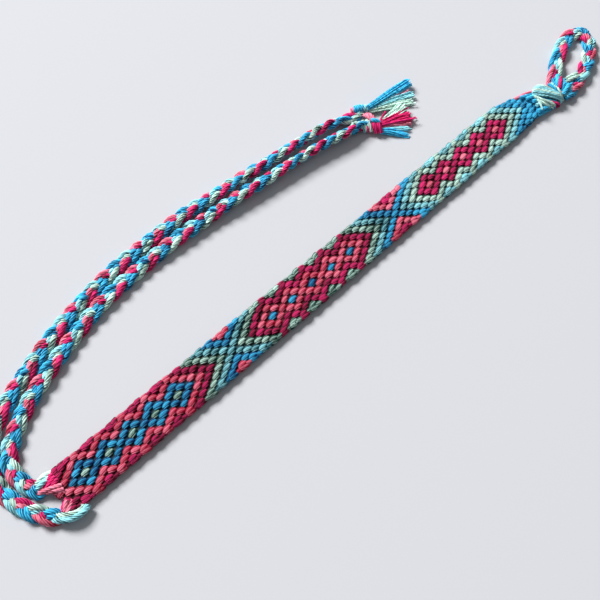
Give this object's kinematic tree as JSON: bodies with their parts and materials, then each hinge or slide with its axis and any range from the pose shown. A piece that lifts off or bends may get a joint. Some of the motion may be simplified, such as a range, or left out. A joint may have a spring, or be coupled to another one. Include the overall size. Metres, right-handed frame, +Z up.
{
  "type": "friendship bracelet",
  "caption": "Knotted cotton friendship bracelet laid open: a woven diamond band with a braided loop at one end and two braided ties with tassels at the other.",
  "frame": {"origin": "middle of the woven band's length on its underside, where it rests on the surface", "axes": "+X along the band to the loop, +Y across the band to the side where the ties lie, +Z up"},
  "size_m": [0.173, 0.0392, 0.0035],
  "materials": {
    "band_floss": "knotted cotton embroidery floss, silky",
    "pink_floss": "twisted cotton embroidery floss, silky",
    "blue_floss": "twisted cotton embroidery floss, silky",
    "mint_floss": "twisted cotton embroidery floss, silky"
  },
  "bodies": {
    "root": {"band": "band_floss", "near_tie_pink": "pink_floss", "near_tie_blue": "blue_floss", "near_tie_mint": "mint_floss", "far_tie_pink": "pink_floss", "far_tie_blue": "blue_floss", "far_tie_mint": "mint_floss", "loop_pink": "pink_floss", "loop_blue": "blue_floss", "loop_mint": "mint_floss", "loop_knot": "mint_floss", "near_tassel": "pink_floss", "far_tassel": "blue_floss"}
  },
  "joints": []
}
